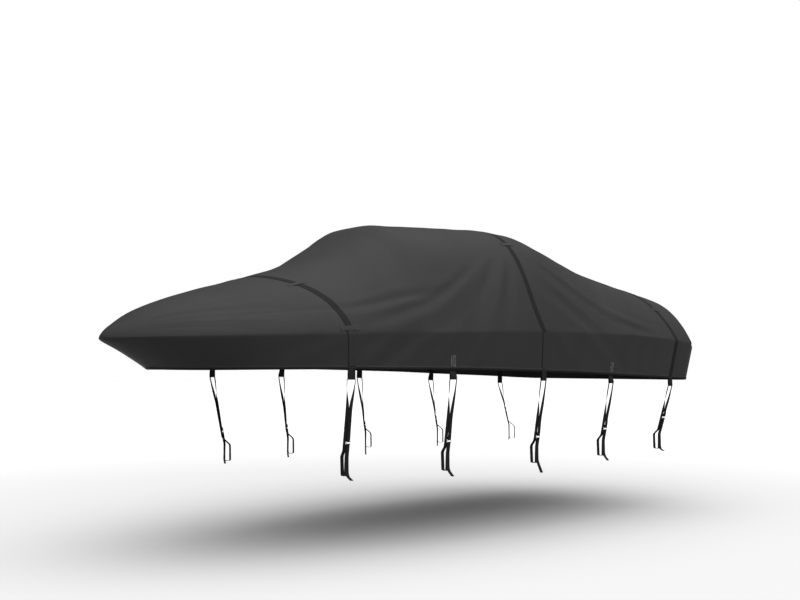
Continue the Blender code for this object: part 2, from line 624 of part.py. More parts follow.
buckle_outline = buckle_mesh(steel)
for place_number in range(len(TIES)):
    for hand in (1, -1):
        tab(place_number, hand, skirt_grids, webbing)
        tie(place_number, hand, skirt_grids, webbing)
        buckle(place_number, hand, skirt_grids, buckle_outline)
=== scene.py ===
"""Looks of a fitted boat cover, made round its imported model.

The sections follow the cover as it is put together.  Metres.  +X points aft, -Y to port
and +Z up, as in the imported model, whose named sizes are repeated here.
"""

import bmesh
import bpy
import numpy as np
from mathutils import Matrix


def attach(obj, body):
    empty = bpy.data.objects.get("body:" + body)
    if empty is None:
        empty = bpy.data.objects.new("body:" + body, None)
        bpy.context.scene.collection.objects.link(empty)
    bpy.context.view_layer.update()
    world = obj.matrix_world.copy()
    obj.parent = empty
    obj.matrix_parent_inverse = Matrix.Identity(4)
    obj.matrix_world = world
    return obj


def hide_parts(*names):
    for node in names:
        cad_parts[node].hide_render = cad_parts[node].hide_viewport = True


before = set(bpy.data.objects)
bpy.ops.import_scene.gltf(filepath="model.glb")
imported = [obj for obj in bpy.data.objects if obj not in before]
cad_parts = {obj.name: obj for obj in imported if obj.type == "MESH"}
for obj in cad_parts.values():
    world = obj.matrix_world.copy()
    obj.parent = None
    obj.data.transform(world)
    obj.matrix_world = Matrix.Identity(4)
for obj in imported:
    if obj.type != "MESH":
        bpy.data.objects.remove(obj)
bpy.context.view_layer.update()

# -------------------- cover cloth
# The cover is one sheet of coated polyester, sewn to shape: a long foredeck, a raised
# middle, and a skirt that turns down at the gunwale.  It is fitted by the pull of the
# cross-straps, which draws soft folds that fan out over its sides.
BOW_TIP = np.array([-2.75, 0.0, -0.95104])  # where the gunwale crease starts
LENGTH = 5.50
HALF_BEAM = 1.15
TRANSOM_HALF_BEAM = 1.10
ENTRY_LENGTH = 3.40
ENTRY_POWER = 2.2
ENTRY_ROOT = 0.588
CORNER_RADIUS = 0.20
NOSE_SHARPNESS = 0.35  # share of the width taken off at the bow tip
NOSE_TAPER = 0.12  # and the length over which that dies out
CLOTH = 0.0015
CLOTH_ABOVE_CREASE = 2.7  # metres of cloth for one unit of "across", near the crease
SKIRT_DEPTH = 0.27
FAR_SIDE_SHIFT = 0.07  # the starboard side's folds lie a little further aft
FOLDS_FADE = 0.30  # folds die out over this length at the bow and the stern
FOLD_PAST_END = 0.2  # each fold runs on past its ends by this share of its length
FOLD_EASE = 0.5  # and rises and dies over this share

# Cross-sections along the cover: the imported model's, with the nose and the front edge
# of the raised middle shaped a little more crisply.
# station, crease height, rise of the ridge, fullness, shoulder, hem height, rake, tuck
SECTIONS = np.array([
    [0.00, 0.0, 0.000, 2.2, 0.76, -0.206, 0.38, 0.80],
    [0.04, 0.0, 0.055, 2.2, 0.76, -0.206, 0.36, 0.81],
    [0.12, 0.001, 0.110, 2.2, 0.76, -0.207, 0.32, 0.82],
    [0.30, 0.004, 0.213, 2.2, 0.76, -0.208, 0.25, 0.85],
    [0.80, 0.020, 0.360, 2.2, 0.76, -0.205, 0.09, 0.93],
    [1.38, 0.037, 0.504, 2.2, 0.75, -0.203, 0.02, 0.98],
    [1.60, 0.044, 0.575, 2.3, 0.75, -0.204, 0.00, 0.99],
    [1.85, 0.050, 0.704, 2.5, 0.79, -0.206, 0.00, 0.99],
    [2.00, 0.055, 0.795, 2.6, 0.87, -0.207, 0.00, 0.99],
    [2.08, 0.057, 0.846, 2.8, 0.94, -0.207, 0.00, 0.99],
    [2.16, 0.061, 0.875, 3.0, 1.00, -0.208, 0.00, 0.99],
    [2.30, 0.065, 0.875, 3.3, 1.00, -0.209, 0.00, 0.99],
    [2.50, 0.071, 0.873, 3.6, 1.00, -0.212, 0.00, 0.99],
    [2.80, 0.080, 0.875, 4.0, 1.00, -0.218, 0.00, 0.99],
    [3.14, 0.085, 0.881, 4.2, 1.00, -0.226, 0.00, 0.985],
    [3.36, 0.086, 0.874, 4.1, 1.00, -0.232, 0.00, 0.98],
    [3.60, 0.087, 0.822, 4.0, 1.00, -0.238, 0.00, 0.98],
    [4.20, 0.082, 0.639, 3.8, 1.00, -0.262, 0.00, 0.96],
    [5.04, 0.050, 0.496, 4.4, 1.00, -0.293, -0.02, 0.94],
    [5.30, 0.025, 0.456, 5.2, 1.00, -0.305, -0.03, 0.945],
    [5.42, 0.010, 0.330, 6.0, 1.00, -0.310, -0.035, 0.945],
    [5.50, 0.0, 0.000, 7.0, 1.00, -0.315, -0.04, 0.945],
])

# Folds, each from one point to another: station and cloth above the crease (below it
# where negative) of both ends in metres, then sideways bulge, radius and height (a trough
# below 0) in mm.
FOLDS = np.array([
    # the edge of the foredeck and its run under the raised middle: high above, hollow below
    [0.72, 0.42, 1.40, 0.34, 0, 50, -3.5],
    [1.40, 0.32, 2.25, 0.35, 0, 50, -8],
    [1.40, 0.43, 2.20, 0.46, 0, 55, 3],
    # sweeps from the foot of the bow strap to the head of the middle strap
    [1.48, 0.20, 2.55, 0.58, 80, 40, 5.5],
    [1.49, 0.07, 2.84, 0.74, 100, 45, -6.5],
    [1.55, 0.00, 2.77, 0.63, 100, 45, 6],
    [1.80, -0.04, 2.87, 0.56, 110, 45, -4],
    # the fan ahead of the middle strap
    [2.37, -0.02, 2.95, 0.74, 10, 40, -5.5],
    [2.56, 0.02, 3.00, 0.66, 35, 36, 6],
    [2.74, 0.00, 3.02, 0.60, 10, 34, -4],
    [2.90, 0.02, 3.05, 0.48, 0, 28, 3],
    # the fan behind it
    [3.21, 0.26, 3.72, 0.00, 0, 34, 5],
    [3.34, 0.34, 3.80, 0.02, 0, 36, -6],
    [3.34, 0.46, 3.92, 0.06, 10, 36, 7],
    [3.40, 0.60, 4.12, 0.16, 45, 42, -5.5],
    [3.32, 0.72, 4.58, 0.12, 70, 45, 6.5],
    [4.02, 0.25, 4.74, 0.10, -10, 45, 4.5],
    [4.14, 0.13, 4.66, 0.05, 0, 40, -4.5],
    [4.40, 0.34, 4.96, 0.20, 0, 50, 2.5],
    # bands that run down the skirt
    [1.74, 0.00, 1.44, -0.27, 0, 45, 6.5],
    [1.92, 0.00, 1.60, -0.27, 0, 45, -5],
    [2.08, 0.00, 1.72, -0.27, 0, 45, 5],
    [2.28, 0.00, 2.00, -0.27, 0, 45, 4],
    [2.56, 0.00, 2.36, -0.27, 0, 40, 6],
    [2.68, 0.00, 2.52, -0.27, 0, 40, -4],
    [3.28, 0.00, 3.66, -0.27, 0, 45, 4],
    [3.66, 0.00, 4.22, -0.27, 0, 50, 6.5],
    [3.84, 0.00, 4.36, -0.27, 0, 45, -4],
    [1.36, -0.02, 1.06, -0.20, 0, 45, 4],
    [1.20, -0.02, 0.86, -0.18, 0, 45, -3],
    # long streaks of the foredeck
    [0.20, 0.85, 1.10, 0.44, 0, 60, -3],
    [0.26, 1.00, 1.05, 0.68, 0, 65, 2],
    [0.30, 1.55, 0.95, 1.25, 0, 90, 2],
    [0.20, 0.50, 1.00, 0.18, 0, 45, 2],
    [0.22, 0.30, 0.80, 0.06, 0, 40, -2],
])
FOLDS[:, 4:] /= 1000

# Faint waves of the whole cloth: waves per metre aft and to port, phase and height.
WAVES = np.array([
    [1.9, 0.9, 0.4, 0.0014],
    [-1.1, 2.3, 1.7, 0.0012],
    [3.4, -1.6, 2.9, 0.0008],
    [4.3, 3.1, 0.2, 0.0005],
])

# The cross-straps press lightly into the cloth: station at the gunwale, how far forward
# each bends towards the ridge, and its sway forward above the gunwale.
STRAPS = {"bow": (1.390, 0.25, 0.0), "mid": (3.165, 0.00, 0.6), "aft": (5.075, 0.30, 0.0)}
STRAP_PRESS = 0.0022
PRESS_WIDTH = 0.045
SWELL = 0.6  # beside a strap the cloth swells by this share of the press,
SWELL_AT = 0.10  # this far from the strap's middle
SWELL_WIDTH = 0.04

# The crease is rounded over this reach, which shrinks from the bow tip aft.
BOW_CREASE_REACH = 0.026
CREASE_REACH = 0.011
BOW_CREASE_LENGTH = 0.7
CREASE_MEAN = ((-1.0, 0.15), (-0.5, 0.2), (0.0, 0.3), (0.5, 0.2), (1.0, 0.15))  # step, share

# The hem is the cloth's edge, turned in and sewn down.
HEM_WIDTH = 0.021
HEM_RISE = 0.0016
HEM_STEP = 0.003  # height over which its upper edge stands off the cloth
HEM_BEAD = 0.0010  # the turned edge is a little fuller than the rest,
HEM_BEAD_HEIGHT = 0.004
HEM_BEAD_WIDTH = 0.0035


def smooth(t):
    """Ease from 0 to 1: 3t^2 - 2t^3."""
    t = np.clip(t, 0.0, 1.0)
    return t * t * (3.0 - 2.0 * t)


def lerp(start, end, t):
    """The mix start + (end - start) t."""
    return start + (end - start) * t


def section(station):
    """The seven columns of SECTIONS at each station, by a monotone cubic between rows."""
    rows, values = SECTIONS[:, 0], SECTIONS[:, 1:]
    width = np.diff(rows)[:, None]
    rate = np.diff(values, axis=0) / width
    same_way = rate[:-1] * rate[1:] > 0
    before = (2 * width[1:] + width[:-1]) / np.where(same_way, rate[:-1], 1.0)
    after = (width[1:] + 2 * width[:-1]) / np.where(same_way, rate[1:], 1.0)
    inner = np.where(same_way, 3 * (width[1:] + width[:-1]) / (before + after), 0.0)
    slope = np.concatenate([rate[:1], inner, rate[-1:]])
    station = np.clip(np.asarray(station, float), rows[0], rows[-1])
    row = np.clip(np.searchsorted(rows, station, side="right") - 1, 0, len(rows) - 2)
    span = (rows[row + 1] - rows[row])[..., None]
    t = (station - rows[row])[..., None] / span
    cubic = ((2 * t**3 - 3 * t**2 + 1) * values[row] + (t**3 - 2 * t**2 + t) * span * slope[row]
             + (3 * t**2 - 2 * t**3) * values[row + 1] + (t**3 - t**2) * span * slope[row + 1])
    return np.moveaxis(cubic, -1, 0)


def skirt_height(station):
    """Height of the crease above the hem."""
    crease, _, _, _, hem, _, _ = section(station)
    return crease - hem


def half_beam(station):
    """Half width at the crease: B (1 - (1 - s / entry)^power)^root, less the nose's share
    exp(-s / taper), less t^2 of what the transom lacks, and with rounded corners."""
    ahead = np.clip(1.0 - station / ENTRY_LENGTH, 0.0, 1.0)
    aft = np.clip((station - ENTRY_LENGTH) / (LENGTH - ENTRY_LENGTH), 0.0, 1.0)
    corner = np.clip((station - LENGTH + CORNER_RADIUS) / CORNER_RADIUS, 0.0, 1.0)
    width = HALF_BEAM * (1.0 - ahead**ENTRY_POWER)**ENTRY_ROOT
    width = width * (1.0 - NOSE_SHARPNESS * np.exp(-station / NOSE_TAPER))
    width = width - (HALF_BEAM - TRANSOM_HALF_BEAM) * aft**2
    return width - CORNER_RADIUS * (1.0 - np.sqrt(1.0 - corner**2))


def strap_path(name, across):
    """Station: at the gunwale, less bend (1 - across^2)^1.5, less sway across^10 (1 - across^2)."""
    station, bend, sway = STRAPS[name]
    square = np.minimum(np.abs(across), 1.0)**2
    return station - bend * (1.0 - square)**1.5 - sway * square**5 * (1.0 - square)


def relief(station, above, across):
    """Height of the folds: for each, height exp(-(distance from its bowed line / radius)^2).

    The waves add height sin(2 pi (waves aft + waves to port) + phase), and each strap
    presses a groove exp(-(distance / width)^2) with a swell on both sides.
    """
    height = np.zeros(np.broadcast(station, above, across).shape)
    shifted = station - FAR_SIDE_SHIFT * (across < 0)
    for x1, a1, x2, a2, bulge, radius, rise in FOLDS:
        run = np.array([x2 - x1, a2 - a1])
        length = np.hypot(*run)
        along = ((shifted - x1) * run[0] + (above - a1) * run[1]) / length**2
        inside = np.clip(along, 0.0, 1.0)
        aside = ((shifted - x1) * run[1] - (above - a1) * run[0]) / length
        aside = aside - 4 * bulge * inside * (1 - inside)
        ends = (smooth((along + FOLD_PAST_END) / FOLD_EASE)
                * smooth((1.0 + FOLD_PAST_END - along) / FOLD_EASE))
        height += rise * ends * np.exp(-(aside / radius)**2)
    out = half_beam(station) * across
    for aft, port, phase, rise in WAVES:
        height += rise * np.sin(2 * np.pi * (aft * station + port * out) + phase)
    for name in STRAPS:
        beside = np.abs(station - strap_path(name, across))
        swell = SWELL * np.exp(-((beside - SWELL_AT) / SWELL_WIDTH)**2)
        height += STRAP_PRESS * (swell - np.exp(-(beside / PRESS_WIDTH)**2))
    return height * smooth((LENGTH - station) / FOLDS_FADE) * smooth(station / FOLDS_FADE)


def top_point(station, across):
    """The cover above the crease: z = crease + rise (1 - |across|^fullness)^shoulder.

    across is -1 at the starboard crease, 0 on the ridge and 1 at the port crease.
    """
    crease, rise, fullness, shoulder, _, _, _ = section(station)
    side = np.abs(across)
    height = crease + rise * (1.0 - side**fullness)**shoulder
    fold = relief(station, CLOTH_ABOVE_CREASE * (1.0 - side), across)
    out = -half_beam(station) * across - np.sign(across) * fold * side
    top = height + fold * np.sqrt(1.0 - side**2)
    return np.stack(np.broadcast_arrays(station, out, top), axis=-1) + BOW_TIP


def skirt_point(station, across, down):
    """The skirt, ruled from the crease (down = 0) to the hem (down = 1)."""
    crease, _, _, _, hem, rake, tuck = section(station)
    fold = relief(station, -SKIRT_DEPTH * down, across)
    out = -half_beam(station) * across * lerp(1.0, tuck, down) - np.sign(across) * fold
    return np.stack([station + rake * down, out, lerp(crease, hem, down)], axis=-1) + BOW_TIP


def cover_point(station, side, above):
    """Cloth of one side (1 port, -1 starboard), above metres up from the crease.

    Near the crease it is the mean of five points along the cloth, which rounds it; their
    reach falls off as exp(-(above / (1.6 reach))^2).
    """
    reach = lerp(BOW_CREASE_REACH, CREASE_REACH, smooth(station / BOW_CREASE_LENGTH))
    reach = reach * np.exp(-(above / (1.6 * reach))**2)
    total = 0.0
    for step, share in CREASE_MEAN:
        at = above + step * reach
        across = side * (1.0 - np.clip(at, 0.0, CLOTH_ABOVE_CREASE) / CLOTH_ABOVE_CREASE)
        down = np.clip(-at / SKIRT_DEPTH, 0.0, 1.0)
        upper = (at > 0.0)[..., None]
        total = total + share * np.where(upper, top_point(station, across),
                                         skirt_point(station, side, down))
    return total


def hem_relief(height):
    """How far the hem stands proud at a height above the cover's lower edge: a smooth
    step, plus a bead exp(-((height - its own) / width)^2)."""
    bead = HEM_BEAD * np.exp(-((height - HEM_BEAD_HEIGHT) / HEM_BEAD_WIDTH)**2)
    return HEM_RISE * smooth((HEM_WIDTH + HEM_STEP / 2 - height) / HEM_STEP) + bead


def quads(columns, rows, round_rows=False):
    """Corner numbers of the faces between the points of a grid, column after column."""
    index = np.arange(columns * rows).reshape(columns, rows)
    if round_rows:
        index = np.concatenate([index, index[:, :1]], axis=1)
    corners = [index[:-1, :-1], index[:-1, 1:], index[1:, 1:], index[1:, :-1]]
    return np.stack(corners, axis=-1).reshape(-1, 4)


def mesh_object(name, points, faces, finish, uv=None, sharp=None):
    """A smooth mesh from an array of points and one of faces with equal numbers of corners."""
    mesh = bpy.data.meshes.new(name)
    mesh.from_pydata(np.asarray(points).tolist(), [], faces.tolist())
    if uv is not None:
        layer = mesh.uv_layers.new(name="cloth")
        layer.data.foreach_set("uv", np.asarray(uv, np.float32)[faces.ravel()].ravel())
    mesh.shade_smooth()
    if sharp:
        mesh.set_sharp_from_angle(angle=np.radians(sharp))
    mesh.materials.append(finish)
    made = bpy.data.objects.new(name, mesh)
    bpy.context.scene.collection.objects.link(made)
    return made


def linear(code):
    """sRGB hex to linear: ((c + 0.055) / 1.055)^2.4, or c / 12.92 where it is dark."""
    c = np.array([int(code[i:i + 2], 16) for i in (1, 3, 5)]) / 255.0
    return (*np.where(c > 0.04045, ((c + 0.055) / 1.055)**2.4, c / 12.92), 1.0)


def add(tree, kind, settings=None, links=None):
    """Adds a node: its settings first, then values of its sockets; links from (node, output)."""
    made = tree.nodes.new("ShaderNode" + kind)
    for key, value in (settings or {}).items():
        if isinstance(key, str) and hasattr(made, key):
            setattr(made, key, value)
        else:
            made.inputs[key].default_value = value
    for key, (source, socket) in (links or {}).items():
        tree.links.new(source.outputs[socket], made.inputs[key])
    return made


def start_finish(name, settings):
    """A material whose Principled shader has these constants: (material, tree, shader)."""
    made = bpy.data.materials.new(name)
    made.use_nodes = True
    shader = made.node_tree.nodes["Principled BSDF"]
    for key, value in settings.items():
        shader.inputs[key].default_value = value
    return made, made.node_tree, shader


def grain(tree, scale, detail, roughness=0.5):
    """Noise over the part, as many waves per metre as its scale: (node, output)."""
    place = add(tree, "TexCoord")
    made = add(tree, "TexNoise", {"Scale": scale, "Detail": detail, "Roughness": roughness},
               {"Vector": (place, "Object")})
    return made, "Fac"


def tint(tree, dark, light, share):
    """Base colour: a mix of two, by the share that a (node, output) gives."""
    tone = add(tree, "Mix", {"data_type": "RGBA", 6: dark, 7: light}, {0: share})
    tree.links.new(tone.outputs[2], tree.nodes["Principled BSDF"].inputs["Base Color"])


# Solution-dyed polyester with a polyurethane coat: a charcoal plain weave, with a satin
# sheen from the coat.  Its threads are 0.5 mm apart, drawn at 1.5 mm to show.
THREAD_PITCH = 0.0015
polyester, tree, shader = start_finish("coated_polyester_weave", {
    "Roughness": 0.55, "IOR": 1.5, "Specular IOR Level": 0.04})
place = add(tree, "TexCoord")
threads = add(tree, "Mapping", {"Scale": (1 / THREAD_PITCH, 1 / THREAD_PITCH, 1.0)},
              {"Vector": (place, "UV")})
weave = add(tree, "TexBrick", {
    "offset": 0.5, "Scale": 1.0, "Mortar Size": 0.10, "Mortar Smooth": 1.0,
    "Brick Width": 1.0, "Row Height": 0.5, "Color1": (1, 1, 1, 1),
    "Color2": (0.8, 0.8, 0.8, 1), "Mortar": (0, 0, 0, 1)}, {"Vector": (threads, "Vector")})
tint(tree, linear("#212122"), linear("#272728"), grain(tree, 1.6, 3.0, 0.55))
soft_bump = add(tree, "Bump", {"Strength": 0.25, "Distance": 0.004},
                {"Height": grain(tree, 22.0, 4.0, 0.55)})
thread_bump = add(tree, "Bump", {"Strength": 0.30, "Distance": 0.0004},
                  {"Height": (weave, "Color"), "Normal": (soft_bump, "Normal")})
tree.links.new(thread_bump.outputs[0], shader.inputs["Normal"])


def unit(vectors):
    """Vectors divided by their length."""
    return vectors / np.linalg.norm(vectors, axis=-1, keepdims=True)


def distance_along(points):
    """Distance from the first point to each of the others, walked from point to point."""
    steps = np.linalg.norm(np.diff(points, axis=0), axis=-1)
    return np.concatenate([np.zeros_like(steps[:1]), np.cumsum(steps, axis=0)])


def cover_rows():
    """Places above the crease, evenly spaced along the middle section, closer at the crease."""
    near = np.array([0.052, 0.040, 0.030, 0.022, 0.016, 0.011, 0.007, 0.0035, 0.0])
    fine = np.linspace(0.0, 1.0 - 0.070 / CLOTH_ABOVE_CREASE, 400)
    walk = distance_along(top_point(np.full_like(fine, MIDDLE_SECTION), fine))
    even = np.interp(np.linspace(0.0, walk[-1], EVEN_ROWS), walk, fine)
    return np.concatenate([CLOTH_ABOVE_CREASE * (1.0 - even), near])


MIDDLE_SECTION = 2.8
EVEN_ROWS = 54
NOSE_END = 0.2  # up to here the columns close up towards the bow tip
COLUMN_STEP = 0.0225
nose = NOSE_END * np.linspace(0.0, 1.0, 13)[:-1]**2
straight = np.arange(NOSE_END, LENGTH - CORNER_RADIUS, COLUMN_STEP)
corner_turn = np.radians(np.linspace(0.0, 90.0, 16))
stations = np.concatenate([nose, straight, LENGTH - CORNER_RADIUS * (1.0 - np.sin(corner_turn))])
heights = cover_rows()
column, above = np.meshgrid(stations, heights, indexing="ij")
port_top = cover_point(column, 1.0, above)
starboard_top = cover_point(column, -1.0, above)
# Both sides meet in one ridge.
top = np.concatenate([starboard_top[:, :0:-1], port_top], axis=1)
top[:, len(heights) - 1] = (port_top[:, 0] + starboard_top[:, 0]) / 2

# The skirt hangs from the whole crease: port side, transom, starboard side.  Its rows
# are a share of the free depth down to the hem, then heights of the hem's own profile.
SHARES = np.concatenate([[0.0, 0.014, 0.03, 0.05, 0.08, 0.12, 0.17], np.linspace(0.24, 1.0, 10)])
HEM_HEIGHTS = np.array([0.0225, 0.0195, 0.014, 0.009, 0.0055, 0.002, 0.0])
ABOVE_HEM = 0.027
EDGE_FADE = 0.06  # share of the depth over which the transom leaves the top's edge


def skirt_rows(station):
    """How far down each row lies, where the hem is at 1."""
    depth = skirt_height(station)[..., None]
    return np.concatenate([SHARES * (1.0 - ABOVE_HEM / depth), 1.0 - HEM_HEIGHTS / depth], axis=-1)


down = skirt_rows(stations)
column = np.broadcast_to(stations[:, None], down.shape)
port_skirt = cover_point(column, 1.0, -SKIRT_DEPTH * down)
starboard_skirt = cover_point(column, -1.0, -SKIRT_DEPTH * down)
up = heights / CLOTH_ABOVE_CREASE
rim = np.concatenate([1.0 - up[::-1], up[1:] - 1.0])
rim, stern_down = np.broadcast_arrays(rim[:, None], skirt_rows(np.array([LENGTH])))
transom_skirt = skirt_point(np.full_like(rim, LENGTH), rim, stern_down)
# Its first rows follow the top's last edge, whose rounded corners lie a little lower.
to_edge = top[-1, ::-1][:, None] - transom_skirt[:, :1]
transom_skirt += to_edge * np.exp(-(stern_down / EDGE_FADE)**2)[..., None]
skirt = np.concatenate([port_skirt[:-1], transom_skirt, starboard_skirt[-2::-1]])
hem_walk = unit(np.gradient(skirt[:, -1], axis=0) * [1.0, 1.0, 0.0])
outward = np.stack([hem_walk[:, 1], -hem_walk[:, 0], 0.0 * hem_walk[:, 0]], axis=1)[:, None]
hem_part = np.zeros(skirt.shape[1])
hem_part[-len(HEM_HEIGHTS):] = hem_relief(HEM_HEIGHTS)
skirt += outward * hem_part[:, None]
# Under the edge the cloth turns in and up again behind the hem.
TURNED_IN = np.array([[-0.0016, -0.0016], [-0.0036, -0.0010], [-0.0050, 0.0020],
                      [-0.0052, 0.0080], [-0.0046, 0.0180], [-0.0030, 0.0215]])
turned = (skirt[:, -1:] + outward * TURNED_IN[:, :1] + TURNED_IN[:, 1:] * [0.0, 0.0, 1.0])
skirt = np.concatenate([skirt, turned], axis=1)


def grid_normal(grid):
    """Unit normals of a grid of points: cross(along its rows, along its columns)."""
    return unit(np.cross(np.gradient(grid, axis=1), np.gradient(grid, axis=0)))


def lifted(middle, lift):
    """A grid moved off along its normals."""
    return middle + lift * grid_normal(middle)


def walked(grid):
    """UV in metres: distance along the grid's columns and along its rows."""
    walk = [distance_along(grid), distance_along(grid.swapaxes(0, 1)).T]
    return np.stack(walk, axis=-1).reshape(-1, 2)


# The seams' ends: everything here is measured from the bow tip or from the stern's crease.
STEM_RAKE = 0.38  # at the nose, as in SECTIONS
STEM_DEPTH = 0.202
STEM_BREADTH = 0.05  # the stem's upper part moves forward over this breadth,
STEM_ROUND = 0.032  # and down to about this depth, so that it starts upright
STEM_REACH = 0.022
NOSE_REACH = 0.06
NOSE_FORWARD = 0.006  # makes up for what the rounding takes off the bow tip
STERN_REACH = 0.012
ROUNDS = 26
PULL = 0.8


def round_ends(mesh):
    """Rounds the crease at the stern, the nose and the stem.

    The stem's upper part first moves forward, by its rake exp(-(depth / round)^2).  Then
    points move to the mean of their neighbours, by a share exp(-(distance / reach)^2).
    """
    points = np.empty(len(mesh.vertices) * 3)
    mesh.vertices.foreach_get("co", points)
    points = points.reshape(-1, 3)
    here = np.empty(len(mesh.edges) * 2, np.int64)
    mesh.edges.foreach_get("vertices", here)
    there = here.reshape(-1, 2)[:, ::-1].ravel()
    valence = np.bincount(here, minlength=len(points))
    station, _, height = (points - BOW_TIP).T
    # The stern counts from its corners aft, the stem from below the crease to the hem.
    stern = np.exp(-((height - section(station)[0]) / STERN_REACH)**2)
    stern = stern * smooth((station - 5.25) / 0.15)
    nose = np.exp(-(station**2 + height**2) / NOSE_REACH**2)
    depth = np.clip(-height, 0.0, STEM_DEPTH)
    rake = STEM_RAKE * depth / STEM_DEPTH
    behind = station - rake
    points[:, 0] -= rake * np.exp(-(depth / STEM_ROUND)**2 - (behind / STEM_BREADTH)**2)
    stem = np.exp(-(behind / STEM_REACH)**2) * smooth((-0.004 - height) / 0.02)
    stem = stem * smooth((height + 0.199) / 0.03)
    pull = PULL * np.maximum(stern, np.maximum(nose, stem))
    for _ in range(ROUNDS):
        total = [np.bincount(here, points[there, k], len(points)) for k in range(3)]
        points += pull[:, None] * (np.stack(total, axis=1) / valence[:, None] - points)
    points[:, 0] -= NOSE_FORWARD * nose
    mesh.vertices.foreach_set("co", points.astype(np.float32).ravel())
    mesh.update()


faces = np.concatenate([quads(*top.shape[:2]), quads(*skirt.shape[:2]) + top[..., 0].size])
cover = mesh_object("boat_cover", np.concatenate([top.reshape(-1, 3), skirt.reshape(-1, 3)]), faces,
                    polyester, np.concatenate([walked(top), walked(skirt)]))
edit = bmesh.new()
edit.from_mesh(cover.data)
bmesh.ops.remove_doubles(edit, verts=edit.verts, dist=0.00003)
edit.to_mesh(cover.data)
edit.free()
round_ends(cover.data)
wall = cover.modifiers.new("Cloth", "SOLIDIFY")
wall.thickness = CLOTH
wall.offset = -1.0

# -------------------- stitches of the hem
# One row of lock stitches in a charcoal polyester thread holds the hem, 19 mm above the
# cover's edge.  Each stitch is a small drawn-out body that sinks into the cloth at its
# ends, and is drawn a little thick, to show.
STITCH_PITCH = 0.0085
THREAD_LENGTH = 0.0062
THREAD_WIDTH = 0.0016
THREAD_HEIGHT = 0.0012


def thread(name, code):
    """Bonded polyester sewing thread: a soft twist line across each stitch."""
    made, tree, _ = start_finish(name, {"Roughness": 0.55, "Specular IOR Level": 0.35})
    place = add(tree, "TexCoord")
    twist = add(tree, "TexWave", {"Scale": 320.0, "Distortion": 1.0}, {"Vector": (place, "Object")})
    dark = tuple(0.7 * c for c in linear(code)[:3]) + (1.0,)
    tint(tree, dark, linear(code), (twist, "Fac"))
    return made


charcoal_thread = thread("charcoal_polyester_thread", "#4a4a4a")
grey_thread = thread("light_grey_polyester_thread", "#b2b2ae")

OCTAHEDRON = np.array([[1, 0, 0], [0, 1, 0], [0, 0, 1], [-1, 0, 0], [0, -1, 0], [0, 0, -1]]) / 2.0
OCTAHEDRON_FACES = np.array([[0, 1, 2], [1, 3, 2], [3, 4, 2], [4, 0, 2],
                             [1, 0, 5], [3, 1, 5], [4, 3, 5], [0, 4, 5]])


def stitches(name, seat, along, normal, finish, length=THREAD_LENGTH, width=THREAD_WIDTH):
    """Rows of stitches: at each seat a drawn-out octahedron, turned to the sewing line."""
    along = unit(along)
    side = unit(np.cross(normal, along))
    axes = np.stack([along * length, side * width, np.cross(along, side) * THREAD_HEIGHT], axis=1)
    points = seat[:, None] + np.einsum("pk,nkj->npj", OCTAHEDRON, axes)
    faces = OCTAHEDRON_FACES + 6 * np.arange(len(seat))[:, None, None]
    made = mesh_object(name, points.reshape(-1, 3), faces.reshape(-1, 3), finish)
    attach(made, "root")
    return made


edge_line = skirt[:, len(SHARES) + 1]
length_so_far = distance_along(edge_line)
sewn_at = np.arange(0.01, length_so_far[-1] - 0.01, STITCH_PITCH)
seat = np.stack([np.interp(sewn_at, length_so_far, column) for column in edge_line.T], axis=1)
facing = np.stack([np.interp(sewn_at, length_so_far, column) for column in outward[:, 0].T], axis=1)
hem_stitches = stitches("hem_stitches", seat + facing * 0.0002, np.gradient(seat, axis=0),
                        facing, charcoal_thread)

# -------------------- binding of the hem
# A black polyester tape is folded over the cover's lower edge and sewn on with it; its
# black, darker than the cloth, is painted shade along the turned hem.  It lies close on the
# cloth, 14 mm up its outside and 8 mm up its inside.
BINDING_GAP = 0.00025  # from the cloth's face to the tape's middle
BINDING_THICKNESS = 0.0002
BINDING_ROWS = slice(len(SHARES) + 2, -2)  # the rows of the skirt that it covers

# Spun polyester tape, black as painted shade of the hem: matt, with a fine uneven grain,
# drawn at 2 mm to show.
hem_tape_painted_shade, tree, _ = start_finish("binding_tape_painted_shade", {
    "Roughness": 0.7, "Specular IOR Level": 0.05})
tint(tree, linear("#0d0d0e"), linear("#171718"), grain(tree, 500.0, 1.0))
tape = lifted(skirt[:, BINDING_ROWS], BINDING_GAP)
binding = mesh_object("hem_binding", tape.reshape(-1, 3), quads(*tape.shape[:2]), hem_tape_painted_shade)
wall = binding.modifiers.new("Tape", "SOLIDIFY")
wall.thickness = BINDING_THICKNESS
wall.offset = 0.0
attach(binding, "root")

# The cover's cloth carries its stitches and its binding.
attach(cover, "root")
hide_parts("cover_cloth")

# -------------------- cross-straps
# Three straps of 48 mm black polypropylene webbing run over the cover from hem to hem.
# They are woven in ribs across their width, and lie flat on the cloth.
HANDS = (("port", 1.0), ("starboard", -1.0))
GAP = 0.0005  # between pieces that lie on each other
WEBBING = 0.0018
STRAP_WIDTH = 0.048
FACING = 0.0008
FACING_ABOVE_HEM = 0.022
FACING_TOP = {"bow": 0.022, "mid": -0.004}  # cloth above the crease where a facing starts
# Places across a facing, from the strap's middle: it leaves the forward edge bare.
FACING_SPREAD = np.array([-0.0165, -0.016, -0.011, -0.004, 0.004, 0.012, 0.018, 0.0225, 0.0235])
